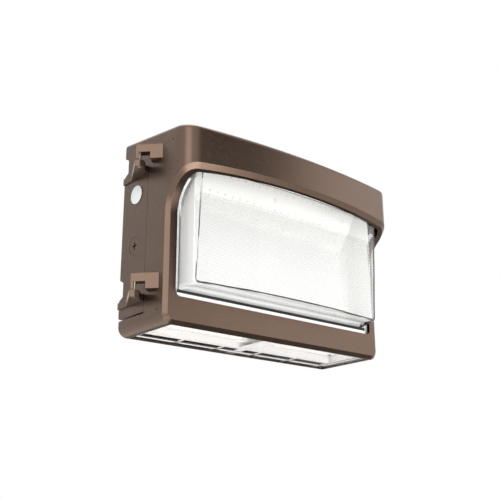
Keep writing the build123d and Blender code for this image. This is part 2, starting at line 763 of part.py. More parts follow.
def wire(points, radius=0.8):
    """Insulated wire through the given points with round elbows."""
    points = [Vector(*p) for p in points]
    body = rod(points[0], points[1], radius)
    for start, end in zip(points[1:], points[2:]):
        body += Pos(*start) * Sphere(radius) + rod(start, end, radius)
    return body


def led_leads():
    """Pairs of wires from the driver through the web to the upper and the bottom boards."""
    leads = []
    for offset in (-1.1, 1.1):
        x, z = top_lead_hole
        leads.append(wire([(x + offset, -58, driver_high), (x + offset, -58, z), (x + offset, -76, z),
                           (x + offset, -82, 76)]))
        x, z = low_lead_hole
        side = math.copysign(1, offset)
        leads.append(wire([(x + offset, -58, driver_low), (x + offset, -58, z), (x + offset, -76, z),
                           (x + offset, -84, -104), (side * 24, board_lead_y, -108),
                           (side * 24, board_lead_y, -122.5), (side * 18, bottom_led_y - 5, -122.5)]))
    return group(leads)


# Closing screws, captive in the front housing's ears

closure_seat = rear_y - ear_depth
clip_y = rear_y - 1.2


def closure_screw(z):
    """Closing screw: domed head, shank to the tapped ear and a groove for its captive clip."""
    body = screw((closure_x, closure_seat, z), (0, 1, 0), 5.0, 3.4, screw_core, 25, 1.3)
    groove = rod((closure_x, clip_y - 0.9, z), (closure_x, clip_y, z), 3)
    return body - (groove - rod((closure_x, clip_y - 2, z), (closure_x, clip_y + 1, z), 1.6))


def closure_clip(z):
    """Split washer in the screw's groove, which keeps it in the ear when it is undone."""
    ring = rod((closure_x, clip_y - 0.85, z), (closure_x, clip_y - 0.05, z), 4.0)
    ring -= rod((closure_x, clip_y - 2, z), (closure_x, clip_y + 1, z), 1.65)
    return ring - box_at(closure_x - 1.2, closure_x + 1.2, clip_y - 2, clip_y + 1, z, z + 6)


nodes = {
    "front_housing": front_housing,
    "back_box": back_box,
    "box_gasket": box_gasket,
    "wall_gasket": wall_gasket,
    "conduit_plugs": conduit_plugs,
    "conduit_rings": conduit_rings,
    "photocell_base": photocell_base,
    "photocell_window": photocell_window,
    "photocell_gasket": photocell_gasket,
    "photocell_nut": photocell_nut,
    "hinge_pins": hinge_pins,
    "terminal_block": terminal_block,
    "terminal_screws": terminal_screws,
    "ground_screw": ground_screw,
    "ground_tag": ground_tag,
    "front_lens": front_lens,
    "front_lens_gasket": front_lens_gasket,
    "lens_clips": lens_clips,
    "lens_screws": lens_screws,
    "reflector_tray": reflector_tray,
    "tray_screws": tray_fixings,
    "upper_led_board": upper_led_board,
    "upper_board_screws": upper_board_screws,
    "upper_led_chips": upper_led_chips,
    "bottom_lens": bottom_lens,
    "bottom_lens_gasket": bottom_lens_gasket,
    "bottom_lens_clips": bottom_lens_clips,
    "bottom_reflector": bottom_reflector,
    "bottom_board_left": bottom_board_left,
    "bottom_board_right": bottom_board_right,
    "bottom_board_screws": bottom_board_screws,
    "bottom_led_chips": bottom_led_chips,
    "led_driver": led_driver,
    "surge_protector": surge_protector,
    "driver_screws": driver_screws,
    "lead_grommets": lead_grommets,
    "led_leads": led_leads,
    "closure_screw_lower": lambda: closure_screw(closure_heights[0]),
    "closure_screw_upper": lambda: closure_screw(closure_heights[1]),
    "closure_clip_lower": lambda: closure_clip(closure_heights[0]),
    "closure_clip_upper": lambda: closure_clip(closure_heights[1]),
}

os.makedirs("parts", exist_ok=True)
for name, make in nodes.items():
    export_step(make(), f"parts/{name}.step")
    print("wrote", name)
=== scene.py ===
import math

import bmesh
import bpy
from mathutils import Matrix, Vector


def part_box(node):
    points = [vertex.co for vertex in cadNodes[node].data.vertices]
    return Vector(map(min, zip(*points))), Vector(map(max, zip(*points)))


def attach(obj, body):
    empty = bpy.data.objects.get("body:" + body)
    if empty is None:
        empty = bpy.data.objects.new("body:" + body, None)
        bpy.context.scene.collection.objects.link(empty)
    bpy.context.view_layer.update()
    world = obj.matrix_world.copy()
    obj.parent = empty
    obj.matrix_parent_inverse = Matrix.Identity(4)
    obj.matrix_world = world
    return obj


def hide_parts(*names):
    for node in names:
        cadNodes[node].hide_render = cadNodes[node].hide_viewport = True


# Wall pack light: bronze castings, clear ribbed lens over a white reflector, pale studio.
# Metres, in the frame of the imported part: x to the right, y into the wall, z up.
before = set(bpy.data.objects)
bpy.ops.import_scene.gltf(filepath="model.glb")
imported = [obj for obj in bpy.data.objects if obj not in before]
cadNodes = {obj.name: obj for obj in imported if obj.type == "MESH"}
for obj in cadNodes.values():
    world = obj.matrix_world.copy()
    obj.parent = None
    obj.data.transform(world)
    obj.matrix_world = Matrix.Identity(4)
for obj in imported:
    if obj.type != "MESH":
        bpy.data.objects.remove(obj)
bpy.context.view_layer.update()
mm = 0.001
print("frame loaded, nodes:", len(cadNodes))

# front lens, all in millimetres, depths measured out from the wall
lens = {"middle": 132.2, "lean": 0.0657, "foot": -86.6, "bow": 1305.0, "half": 156.2, "draft": 0.13,
        "low": -90.7, "lowSlope": 0.128, "frame": 101.5, "wall": 2.6, "round": 4.0, "corner": 40.0,
        "flange": 96.5, "flangeThick": 3.0, "top": 55.0, "sharp": 15.0}
ribs = {"pitch": 2.2, "deep": 0.2, "low": -82.0, "high": 23.0, "half": 152.0, "tintHalf": 151.5}
noiseSpan = {"From Min": 0.3, "From Max": 0.7}  # most values of a noise lie between these


def colour(code):
    # sRGB hex to the linear colour that a shader socket takes
    out = []
    for at in (1, 3, 5):
        c = int(code[at:at + 2], 16) / 255
        out.append(c / 12.92 if c <= 0.04045 else ((c + 0.055) / 1.055) ** 2.4)
    return (*out, 1.0)


def addNode(mat, kind, inputs=None, **settings):
    # one node with its settings, and its inputs as values or links
    made = mat.node_tree.nodes.new(kind)
    for key, value in settings.items():
        setattr(made, key, value)
    for key, value in (inputs or {}).items():
        if isinstance(value, bpy.types.NodeSocket):
            mat.node_tree.links.new(value, made.inputs[key])
        else:
            made.inputs[key].default_value = value
    return made


def newMaterial(name):
    mat = bpy.data.materials.new(name)
    mat.use_nodes = True
    mat.node_tree.nodes.clear()
    return mat


def bronzePowderCoat():
    # polyester powder coat with metal flake on die-cast aluminium, sprayed and baked: tan where a
    # lamp glances off it, near black where it faces something dark, under a fine orange peel
    # the darkest of these colours is painted shade for deep recesses
    coat = {"base": "#655144", "worn": "#695547", "paintedShade": "#1E1713", "metallic": 0.92,
            "roughness": 0.3, "uneven": 0.03, "coat": 0.3, "coatRoughness": 0.35, "peelStrength": 0.5,
            "cloud": 90, "speckle": 4, "peel": 1.1, "peelDepth": 0.01, "edge": 0.4, "reach": 14}
    mat = newMaterial("bronze_powder_coat")
    point = addNode(mat, "ShaderNodeTexCoord").outputs["Object"]
    cloud = addNode(mat, "ShaderNodeTexNoise",
                    {"Vector": point, "Scale": 1 / (coat["cloud"] * mm), "Detail": 3})
    share = addNode(mat, "ShaderNodeMapRange", {**noiseSpan, "Value": cloud.outputs["Fac"]})
    base = addNode(mat, "ShaderNodeMix", {0: share.outputs[0], 6: colour(coat["base"]),
                                          7: colour(coat["worn"])}, data_type="RGBA")
    # painted shade: an occlusion node darkens the coat's colour to near black in deep recesses such as the
    # hinge slots
    openness = addNode(mat, "ShaderNodeAmbientOcclusion", {"Distance": coat["reach"] * mm}, samples=8)
    unshadedShare = addNode(mat, "ShaderNodeMapRange", {**noiseSpan, "Value": openness.outputs["AO"]})
    base = addNode(mat, "ShaderNodeMix", {0: unshadedShare.outputs[0], 6: colour(coat["paintedShade"]),
                                          7: base.outputs[2]}, data_type="RGBA")
    softEdge = addNode(mat, "ShaderNodeBevel", {"Radius": coat["edge"] * mm}, samples=4)
    peel = addNode(mat, "ShaderNodeTexNoise",
                   {"Vector": point, "Scale": 1 / (coat["peel"] * mm), "Detail": 2})
    bump = addNode(mat, "ShaderNodeBump", {
        "Height": peel.outputs["Fac"], "Distance": coat["peelDepth"] * mm,
        "Strength": coat["peelStrength"], "Normal": softEdge.outputs["Normal"]})
    speckle = addNode(mat, "ShaderNodeTexNoise",
                      {"Vector": point, "Scale": 1 / (coat["speckle"] * mm), "Detail": 4})
    rough = addNode(mat, "ShaderNodeMapRange", {
        **noiseSpan, "Value": speckle.outputs["Fac"], "To Min": coat["roughness"] - coat["uneven"],
        "To Max": coat["roughness"] + coat["uneven"]})
    shader = addNode(mat, "ShaderNodeBsdfPrincipled", {
        "Base Color": base.outputs[2], "Metallic": coat["metallic"], "Roughness": rough.outputs[0],
        "Coat Weight": coat["coat"], "Coat Roughness": coat["coatRoughness"],
        "Normal": bump.outputs["Normal"]})
    addNode(mat, "ShaderNodeOutputMaterial", {"Surface": shader.outputs[0]})
    return mat


def ribShadeBands(mat, clear, root):
    # painted shade: darker bands along the roots of the prisms, on the front up to where it sweeps; the
    # bands of a wave repeat every pi / 10 of its scale
    point = addNode(mat, "ShaderNodeTexCoord").outputs["Object"]
    wave = addNode(mat, "ShaderNodeTexWave",
                   {"Vector": point, "Scale": math.pi / 10 / (ribs["pitch"] * mm)},
                   wave_type="BANDS", bands_direction="Z")
    at = addNode(mat, "ShaderNodeSeparateXYZ", {"Vector": point})
    across = addNode(mat, "ShaderNodeMath", {0: at.outputs["X"]}, operation="ABSOLUTE")
    between = addNode(mat, "ShaderNodeMath", {0: across.outputs[0], 1: ribs["tintHalf"] * mm},
                      operation="LESS_THAN")
    below = addNode(mat, "ShaderNodeMath", {0: at.outputs["Z"], 1: ribs["high"] * mm},
                    operation="LESS_THAN")
    inside = addNode(mat, "ShaderNodeMath", {0: between.outputs[0], 1: below.outputs[0]},
                     operation="MULTIPLY")
    share = addNode(mat, "ShaderNodeMath", {0: wave.outputs["Fac"], 1: inside.outputs[0]},
                    operation="MULTIPLY")
    return addNode(mat, "ShaderNodeMix", {0: share.outputs[0], 6: colour(clear), 7: colour(root)},
                   data_type="RGBA").outputs[2]


def clearPolycarbonate():
    # injection-moulded clear polycarbonate: bright rims and dark lines where it turns; shadow and
    # diffuse rays pass straight through, so what is behind is lit evenly, and the paint beside it
    # reflects only a dim light through its walls
    # the root colour is painted shade for the bands along the prisms' roots
    clear = {"tint": "#FBFBFB", "root": "#DEDEDE", "reflected": "#6E6E6E", "roughness": 0.02,
             "ior": 1.585}
    mat = newMaterial("clear_polycarbonate")
    glassy = addNode(mat, "ShaderNodeBsdfPrincipled", {
        "Base Color": ribShadeBands(mat, clear["tint"], clear["root"]), "Roughness": clear["roughness"],
        "IOR": clear["ior"], "Transmission Weight": 1.0})
    through = addNode(mat, "ShaderNodeBsdfTransparent", {"Color": colour(clear["tint"])})
    dim = addNode(mat, "ShaderNodeBsdfTransparent", {"Color": colour(clear["reflected"])})
    path = addNode(mat, "ShaderNodeLightPath")
    either = addNode(mat, "ShaderNodeMath", {0: path.outputs["Is Shadow Ray"],
                                             1: path.outputs["Is Diffuse Ray"]}, operation="MAXIMUM")
    mixed = addNode(mat, "ShaderNodeMixShader", {0: either.outputs[0], 1: glassy.outputs[0],
                                                 2: through.outputs[0]})
    mirrored = addNode(mat, "ShaderNodeMath", {0: path.outputs["Is Glossy Ray"],
                                               1: path.outputs["Is Transmission Ray"]},
                       operation="SUBTRACT", use_clamp=True)
    mixed = addNode(mat, "ShaderNodeMixShader", {0: mirrored.outputs[0], 1: mixed.outputs[0],
                                                 2: dim.outputs[0]})
    addNode(mat, "ShaderNodeOutputMaterial", {"Surface": mixed.outputs[0]})
    return mat


def thinPane():
    # flat extruded polycarbonate pane: seen straight through, with a faint sheen
    pane = {"tint": "#FDFCFC", "sheen": 0.2, "roughness": 0.02, "ior": 1.585}
    mat = newMaterial("clear_bottom_pane")
    through = addNode(mat, "ShaderNodeBsdfTransparent", {"Color": colour(pane["tint"])})
    sheen = addNode(mat, "ShaderNodeBsdfGlossy", {"Color": colour("#FFFFFF"),
                                                  "Roughness": pane["roughness"]})
    facing = addNode(mat, "ShaderNodeFresnel", {"IOR": pane["ior"]})
    share = addNode(mat, "ShaderNodeMath", {0: facing.outputs[0], 1: pane["sheen"]},
                    operation="MULTIPLY")
    mixed = addNode(mat, "ShaderNodeMixShader", {0: share.outputs[0], 1: through.outputs[0],
                                                 2: sheen.outputs[0]})
    addNode(mat, "ShaderNodeOutputMaterial", {"Surface": mixed.outputs[0]})
    return mat


def plastic(name, base, roughness, grain=0.6, depth=0.006, specular=0.5):
    # plastic, silicone or paint: even colour under a skin with a grain of so many millimetres
    mat = newMaterial(name)
    point = addNode(mat, "ShaderNodeTexCoord").outputs["Object"]
    skinGrain = addNode(mat, "ShaderNodeTexNoise",
                        {"Vector": point, "Scale": 1 / (grain * mm), "Detail": 2})
    bump = addNode(mat, "ShaderNodeBump", {"Height": skinGrain.outputs["Fac"], "Distance": depth * mm})
    shader = addNode(mat, "ShaderNodeBsdfPrincipled", {
        "Base Color": colour(base), "Roughness": roughness, "Specular IOR Level": specular,
        "Normal": bump.outputs["Normal"]})
    addNode(mat, "ShaderNodeOutputMaterial", {"Surface": shader.outputs[0]})
    return mat


def solderMask():
    # white solder mask printed over copper: faint raised tracks under a satin skin
    mask = {"colour": "#F8F8F5", "roughness": 0.4, "gap": 0.4, "gapSoft": 0.3, "padWide": 12.2,
            "padHigh": 6.0, "raised": 0.03}
    mat = newMaterial("white_solder_mask")
    point = addNode(mat, "ShaderNodeTexCoord").outputs["Object"]
    track = addNode(mat, "ShaderNodeTexBrick", {
        "Vector": point, "Scale": 1.0, "Mortar Size": mask["gap"] * mm, "Mortar Smooth": mask["gapSoft"],
        "Brick Width": mask["padWide"] * mm, "Row Height": mask["padHigh"] * mm})
    bump = addNode(mat, "ShaderNodeBump", {"Height": track.outputs["Fac"],
                                           "Distance": mask["raised"] * mm})
    shader = addNode(mat, "ShaderNodeBsdfPrincipled", {
        "Base Color": colour(mask["colour"]), "Roughness": mask["roughness"],
        "Normal": bump.outputs["Normal"]})
    addNode(mat, "ShaderNodeOutputMaterial", {"Surface": shader.outputs[0]})
    return mat


def milkyPolycarbonate():
    # moulded diffusing polycarbonate: light soaks a little way in and comes out soft
    milky = {"colour": "#C6CAC9", "roughness": 0.28, "ior": 1.585, "soak": 0.4, "depth": 2.0}
    mat = newMaterial("milky_polycarbonate")
    shader = addNode(mat, "ShaderNodeBsdfPrincipled", {
        "Base Color": colour(milky["colour"]), "Roughness": milky["roughness"], "IOR": milky["ior"],
        "Subsurface Weight": milky["soak"], "Subsurface Radius": (milky["depth"] * mm,) * 3,
        "Subsurface Scale": 1.0})
    addNode(mat, "ShaderNodeOutputMaterial", {"Surface": shader.outputs[0]})
    return mat


def metal(name, base, roughness):
    # turned or plated metal: bright, with fine marks that break up what it mirrors
    marks = {"size": 0.5, "depth": 0.004, "uneven": 0.07}
    mat = newMaterial(name)
    point = addNode(mat, "ShaderNodeTexCoord").outputs["Object"]
    fine = addNode(mat, "ShaderNodeTexNoise",
                   {"Vector": point, "Scale": 1 / (marks["size"] * mm), "Detail": 3})
    rough = addNode(mat, "ShaderNodeMapRange", {
        **noiseSpan, "Value": fine.outputs["Fac"], "To Min": roughness - marks["uneven"],
        "To Max": roughness + marks["uneven"]})
    bump = addNode(mat, "ShaderNodeBump", {"Height": fine.outputs["Fac"],
                                           "Distance": marks["depth"] * mm})
    shader = addNode(mat, "ShaderNodeBsdfPrincipled", {
        "Base Color": colour(base), "Metallic": 1.0, "Roughness": rough.outputs[0],
        "Normal": bump.outputs["Normal"]})
    addNode(mat, "ShaderNodeOutputMaterial", {"Surface": shader.outputs[0]})
    return mat


looks = {
    "bronze": bronzePowderCoat(),
    "lens": clearPolycarbonate(),
    "pane": thinPane(),
    "paleSeal": plastic("white_silicone_seal", "#E9E9E7", 0.5),  # moulded silicone, soft and dull
    "reflector": plastic("white_reflector_gloss", "#F3F3F1", 0.3, 0.9, 0.003),  # painted sheet, glossy
    "board": solderMask(),
    "chipBody": plastic("led_package_white", "#F3F3F0", 0.45),  # moulded nylon, satin white
    "phosphor": plastic("led_phosphor_silicone", "#F7EEC6", 0.3),  # cast silicone, pale yellow when off
    "seal": plastic("black_silicone_seal", "#1D1C1B", 0.6),  # moulded silicone, dull black
    "paintedShadeBlack": plastic("painted_shade_black", "#070707", 1.0, specular=0.1),  # painted shade: matte near black that sends almost nothing back, for the sheet in the bottom slots
    "nylon": plastic("black_nylon", "#1B1B1C", 0.5),  # moulded nylon, satin black
    "dome": milkyPolycarbonate(),
    "steel": metal("stainless_turned", "#B9B7B2", 0.3),  # turned stainless steel, cool and bright
    "tin": metal("tinned_brass", "#C9C2AE", 0.35),  # stamped and tinned brass, warm and soft
    "green": metal("green_zinc", "#2F7A45", 0.4),  # dyed zinc plate, the green of an earth screw
    "case": plastic("driver_white_paint", "#E4E4E1", 0.4),  # painted steel, off-white
    "lead": plastic("lead_insulation_white", "#E6E4DE", 0.5),  # extruded insulation, dull white
}

dressing = {
    "bronze": ["front_housing", "back_box", "conduit_plugs", "bottom_lens_clips"],
    "seal": ["box_gasket", "wall_gasket", "conduit_rings", "photocell_gasket", "front_lens_gasket",
             "lead_grommets"],
    "paleSeal": ["bottom_lens_gasket"],
    "nylon": ["photocell_base", "photocell_nut", "terminal_block", "surge_protector"],
    "dome": ["photocell_window"],
    "steel": ["hinge_pins", "terminal_screws", "lens_clips", "lens_screws", "bottom_board_screws",
              "driver_screws", "closure_screw_lower", "closure_screw_upper", "closure_clip_lower",
              "closure_clip_upper"],
    "green": ["ground_screw"],
    "tin": ["ground_tag"],
    "reflector": ["reflector_tray", "bottom_reflector", "tray_screws", "upper_board_screws"],
    "board": ["upper_led_board", "bottom_board_left", "bottom_board_right"],
    "case": ["led_driver"],
    "lead": ["led_leads"],
    "pane": ["bottom_lens"],
}
for look, names in dressing.items():
    for name in names:
        mesh = cadNodes[name].data
        mesh.materials.clear()
        mesh.materials.append(looks[look])
print("materials on", sum(len(names) for names in dressing.values()), "nodes")


def addObject(name, bm, look, smooth=False):
    # object with one material from a bmesh, which is freed
    mesh = bpy.data.meshes.new(name)
    bm.to_mesh(mesh)
    bm.free()
    for face in mesh.polygons:
        face.use_smooth = smooth
    mesh.materials.append(looks[look])
    made = bpy.data.objects.new(name, mesh)
    bpy.context.scene.collection.objects.link(made)
    return made


def skin(bm, rows):
    # faces between rows of points
    made = [[bm.verts.new(point) for point in row] for row in rows]
    for lower, upper in zip(made, made[1:]):
        for a, b, c, d in zip(lower, lower[1:], upper[1:], upper):
            bm.faces.new((a, b, c, d))
    return made


def addBox(bm, low, high):
    size = [b - a for a, b in zip(low, high)]
    middle = [(a + b) / 2 for a, b in zip(low, high)]
    bmesh.ops.create_cube(bm, size=1, matrix=Matrix.Translation(middle) @ Matrix.Diagonal((*size, 1)))


# the flange runs up flat, then sweeps forward in an arc and on in a slope
sweep = {"height": 1.0, "centre": 144.5, "radius": 48.0, "end": 37.8, "rise": 22.3, "run": 17.0}

# columns and rows are close together where the lens turns; the inside turns further in
grid = {
    "columns": [170, 166, 162, 160, 159.6, 159, 158.5, 158, 157.5, 157, 156.5, 156, 155.5, 155,
                154.6, 154.2, 153.8, 153.4, 153, 152.4, 151.6, 150.5, 148, 144, 138, 130, 120, 110,
                100, 90, 80, 70, 60, 50, 40, 30, 20, 10],
    "rows": [-106, -102, -98, -96.6, -95.8, -95.2, -94.4, -93.6, -92.8, -92, -91.2, -90.4, -89.6,
             -88.8, -88.2, -87.6, -87, -86.4, -85.8, -85, -84],
    "sideTurn": (150, 160), "sideIn": 2.4, "sideEased": (148, 144, 162),
    "footTurn": (-97, -84.5), "footIn": 2.3, "footEased": (-98, -84), "easedIn": 1.2,
    "aboveRibs": 1, "aboveStep": 2,
}


def softMin(a, b, size):
    # smaller of two values, with a round change from one to the other
    near = max(size - abs(a - b), 0) / size
    return min(a, b) - near * near * size / 4


def flangeHeight(z):
    if z <= sweep["height"]:
        return lens["flange"]
    if z <= sweep["end"]:
        return sweep["centre"] - math.sqrt(sweep["radius"] ** 2 - (z - sweep["height"]) ** 2)
    return flangeHeight(sweep["end"]) + (z - sweep["end"]) * sweep["rise"] / sweep["run"]


def capHeight(x, z, inset):
    # the bulge, moved in by an inset: bowed front, drafted sides and foot
    front = lens["middle"] - inset - x * x / (2 * lens["bow"]) + lens["lean"] * (z - lens["foot"])
    side = lens["frame"] + (lens["half"] - abs(x) - inset) / lens["draft"]
    foot = lens["frame"] + (z - inset - lens["low"]) / lens["lowSlope"]
    return softMin(front, softMin(side, foot, lens["corner"]), lens["round"])


def outerHeight(x, z):
    return max(capHeight(x, z, 0), flangeHeight(z))


def innerHeight(x, z, groove):
    cap = capHeight(x, z, lens["wall"])
    if abs(x) < ribs["half"]:
        cap += groove
    return max(cap, flangeHeight(z) - lens["flangeThick"])


def insideColumn(x):
    near, far = grid["sideTurn"]
    if near < x <= far:
        return x - grid["sideIn"]
    return x - grid["easedIn"] if x in grid["sideEased"] else x


def insideRow(z):
    low, high = grid["footTurn"]
    if low < z < high:
        return z + grid["footIn"]
    return z + grid["easedIn"] if z in grid["footEased"] else z


def lensGrid():
    # columns, and rows with the depth of their groove, for the outside and for the inside
    halves = (grid["columns"], [insideColumn(x) for x in grid["columns"]])
    columns = [[-x for x in half] + [0] + half[::-1] for half in halves]
    outer = [(z, 0) for z in grid["rows"]]
    inner = [(insideRow(z), 0) for z in grid["rows"]]
    for i in range(int((ribs["high"] - ribs["low"]) / ribs["pitch"]) * 2):
        z = ribs["low"] + i * ribs["pitch"] / 2
        outer.append((z, 0))
        inner.append((z, ribs["deep"] if i % 2 else 0))
    z = ribs["high"] + grid["aboveRibs"]
    while z <= lens["top"]:
        outer.append((z, 0))
        inner.append((z, 0))
        z += grid["aboveStep"]
    return columns, outer, inner


def ribbedLens():
    # clear front lens: flange, bulge with rounded edges, horizontal prisms inside its front
    columns, outer, inner = lensGrid()
    bm = bmesh.new()
    outside = skin(bm, [[Vector((x, -outerHeight(x, z), z)) * mm for x in columns[0]] for z, _ in outer])
    inside = skin(bm, [[Vector((x, -innerHeight(x, z, groove), z)) * mm for x in columns[1]]
                       for z, groove in inner])
    rims = [([row[0] for row in outside], [row[0] for row in inside]),
            ([row[-1] for row in outside], [row[-1] for row in inside]),
            (outside[0], inside[0]), (outside[-1], inside[-1])]
    for near, far in rims:
        for a, b, c, d in zip(near, near[1:], far[1:], far):
            bm.faces.new((a, b, c, d))
    bmesh.ops.recalc_face_normals(bm, faces=bm.faces)
    made = addObject("front_lens_ribbed", bm, "lens", smooth=True)
    made.data.set_sharp_from_angle(angle=math.radians(lens["sharp"]))
    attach(made, "front")
    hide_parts("front_lens")


def trayCorners():
    # white plates that close the tray's cheeks behind the ends of the upper board, in millimetres
    plate = {"near": 150.4, "far": 152.2, "front": -88.0, "back": -66.0, "low": 30.0, "high": 83.0}
    bm = bmesh.new()
    for side in (-1, 1):
        left, right = sorted((side * plate["near"], side * plate["far"]))
        addBox(bm, Vector((left, plate["front"], plate["low"])) * mm,
               Vector((right, plate["back"], plate["high"])) * mm)
    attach(addObject("tray_corner_plates", bm, "reflector"), "front")


def flatStrip(bm, ends, y, heights):
    skin(bm, [[Vector((x, y, z)) * mm for x in ends] for z in heights])


def flangeStrips():
    # white ribbed strips behind the flange's margins, a thin black strip on its face along the foot and up
    # its sides, and a white bead below
    strip = {"near": 157.0, "far": 168.5, "low": -98.0, "high": 44.0, "behind": 0.6, "rib": 1.2,
             "foot": (-103.0, -94.6)}
    trim = {"half": 159.8, "proud": 0.25, "thick": 0.25, "blackLine": (-95.2, -91.5),
            "sideBlackLine": (157.3, 157.8), "sideTop": 0.0, "bead": (-99.5, -95.5)}
    bm = bmesh.new()
    for side in (-1, 1):
        rows, z, step = [], strip["low"], 0
        while z < strip["high"]:
            y = -(flangeHeight(z) - lens["flangeThick"] - strip["behind"] - strip["rib"] * (step % 2))
            rows.append([Vector((side * x, y, z)) * mm for x in (strip["near"], strip["far"])])
            z += ribs["pitch"] / 2
            step += 1
        skin(bm, rows)
    low = -(lens["flange"] - lens["flangeThick"] - strip["behind"])
    flatStrip(bm, (-strip["far"], strip["far"]), low, strip["foot"])
    strips = addObject("lens_margin_strips", bm, "reflector")

    face = -(lens["flange"] + trim["proud"])
    ends = (-trim["half"], trim["half"])
    bm = bmesh.new()
    flatStrip(bm, ends, face, trim["blackLine"])
    for side in (-1, 1):
        flatStrip(bm, [side * x for x in trim["sideBlackLine"]], face, (trim["blackLine"][1], trim["sideTop"]))
    blackLine = addObject("lens_foot_black_line", bm, "seal")
    bm = bmesh.new()
    flatStrip(bm, ends, face, trim["bead"])
    bead = addObject("lens_foot_bead", bm, "paleSeal")
    for piece in (strips, blackLine, bead):
        thick = piece.modifiers.new("thick", "SOLIDIFY")
        thick.thickness, thick.offset = trim["thick"] * mm, 0
        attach(piece, "front")


ribbedLens()
flangeStrips()
trayCorners()
print("front lens made")


def ledPackages(name, node, board, places):
    # white packages with a round yellow lens of silicone on each, for a node's plain blocks
    package = {"side": 2.8 * mm, "tall": 0.62 * mm, "well": 1.15 * mm, "dome": 0.4 * mm,
               "taper": 0.8, "facets": 16}
    body, glow = bmesh.new(), bmesh.new()
    for place in places:
        turn = board @ Matrix.Translation(place)
        size = (package["side"], package["side"], package["tall"])
        shift = Matrix.Translation((0, 0, package["tall"] / 2))
        bmesh.ops.create_cube(body, size=1, matrix=turn @ shift @ Matrix.Diagonal((*size, 1)))
        shift = Matrix.Translation((0, 0, package["tall"] + package["dome"] / 2))
        bmesh.ops.create_cone(glow, cap_ends=True, segments=package["facets"],
                              radius1=package["well"], radius2=package["well"] * package["taper"],
                              depth=package["dome"], matrix=turn @ shift)
    made = [addObject(name + "_bodies", body, "chipBody"), addObject(name + "_phosphor", glow, "phosphor")]
    for piece in made:
        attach(piece, "front")
    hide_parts(node)


def boardFrame(origin, out):
    # matrix with x along the board and z away from its lit side
    along = Vector((1, 0, 0))
    turn = Matrix((along, out.cross(along), out)).transposed().to_4x4()
    return Matrix.Translation(origin) @ turn


def upperLamps():
    # four rows on the slanting board; each row's share is how far up the slant it lies
    rows = {"low": (0, -76.0, 40.0), "high": (0, -102.5, 85.0), "shares": (0.14, 0.28, 0.72, 0.86),
            "count": 24, "pitch": 12.2}
    low = Vector(rows["low"]) * mm
    slant = Vector(rows["high"]) * mm - low
    board = boardFrame(low, Vector((0, -slant.z, slant.y)).normalized())
    first = (rows["count"] - 1) / 2
    places = [Vector(((step - first) * rows["pitch"] * mm, share * slant.length, 0))
              for share in rows["shares"] for step in range(rows["count"])]
    ledPackages("upper_lamps", "upper_led_chips", board, places)


def bottomFrame():
    # thin white frame over the lower lamps, with a row of dark slots between posts at the back
    sheet = {"thick": 0.5 * mm, "wall": 1.2 * mm, "lip": 2.5 * mm, "clear": 0.2 * mm,
             "slotFront": -21.5 * mm, "slotRear": -9.5 * mm, "middle": 12 * mm, "margin": 5 * mm,
             "post": 2.2 * mm, "middlePost": 6.6 * mm, "pitch": 64.2 * mm, "gap": 0.8 * mm,
             "cover": 19 * mm, "coverDeep": 3.5 * mm, "coverGap": 0.1 * mm,
             "shadeLow": 0.08 * mm, "shadeHigh": 0.42 * mm}
    (x0, y0, z0), (x1, y1, z1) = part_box("bottom_reflector")
    (_, y4, z4), (_, y5, _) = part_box("bottom_board_left")
    z2 = z0 + sheet["thick"]
    lampFront, lampRear = y0 + sheet["lip"], y5 + sheet["gap"]
    slotFront, slotRear = sheet["slotFront"], sheet["slotRear"]
    margin, middle, wall = sheet["margin"], sheet["middle"], sheet["wall"]
    bm = bmesh.new()
    for y2, y3 in ((y0, lampFront), (lampRear, slotFront), (slotRear, y1)):
        addBox(bm, (x0, y2, z0), (x1, y3, z2))
    for x2, x3 in ((x0, x0 + margin), (-middle, middle), (x1 - margin, x1)):
        addBox(bm, (x2, lampFront, z0), (x3, lampRear, z2))
    posts = [x0 + margin / 2, x1 - margin / 2]
    posts += [sheet["pitch"] * step for step in (-1.5, -0.5, 0.5, 1.5)] + [0]
    for x in posts:
        wide = sheet["post"] if x else sheet["middlePost"]
        addBox(bm, (max(x - wide, x0), slotFront, z0), (min(x + wide, x1), slotRear, z2))
    # ceiling in front of the boards, wall behind them and cover between them
    front, rear = y4 - sheet["clear"], y5 + sheet["clear"]
    addBox(bm, (x0, y0, z4), (x1, front, z4 + sheet["thick"]))
    addBox(bm, (x0, rear, z0), (x1, lampRear, z4))
    addBox(bm, (-sheet["cover"], front, z4 - sheet["coverDeep"]),
           (sheet["cover"], rear, z4 - sheet["coverGap"]))
    for low, high in (((x0, y0, z2), (x0 + wall, y1, z1)), ((x1 - wall, y0, z2), (x1, y1, z1)),
                      ((x0, y0, z2), (x1, y0 + wall, z1)), ((x0, y1 - wall, z2), (x1, y1, z1))):
        addBox(bm, low, high)
    made = addObject("bottom_frame", bm, "reflector")
    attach(made, "front")
    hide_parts("bottom_reflector")
    # painted shade: a matte black sheet just inside the slots makes them look dark
    bm = bmesh.new()
    addBox(bm, (x0 + wall, slotFront, z0 + sheet["shadeLow"]),
           (x1 - wall, slotRear, z0 + sheet["shadeHigh"]))
    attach(addObject("slot_shade", bm, "paintedShadeBlack"), "front")


def lowerLamps():
    # one row on each of the two bottom boards, counted out from the middle
    row = {"first": 24, "pitch": 6.3, "count": 19}
    (_, rowFront, _), (_, rowRear, boardFace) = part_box("bottom_led_chips")
    board = boardFrame(Vector((0, (rowFront + rowRear) / 2, boardFace)), Vector((0, 0, -1)))
    places = [Vector((side * (row["first"] + step * row["pitch"]) * mm, 0, 0))
              for side in (-1, 1) for step in range(row["count"])]
    ledPackages("lower_lamps", "bottom_led_chips", board, places)


upperLamps()
bottomFrame()
lowerLamps()
print("lamps and bottom frame placed")


def areaLamp(name, place, target, size, power):
    data = bpy.data.lights.new(name, "AREA")
    data.shape = "RECTANGLE"
    data.size, data.size_y = size
    data.energy = power
    lamp = bpy.data.objects.new(name, data)
    lamp.location = place
    lamp.rotation_euler = (Vector(target) - Vector(place)).to_track_quat("-Z", "Y").to_euler()
    bpy.context.scene.collection.objects.link(lamp)


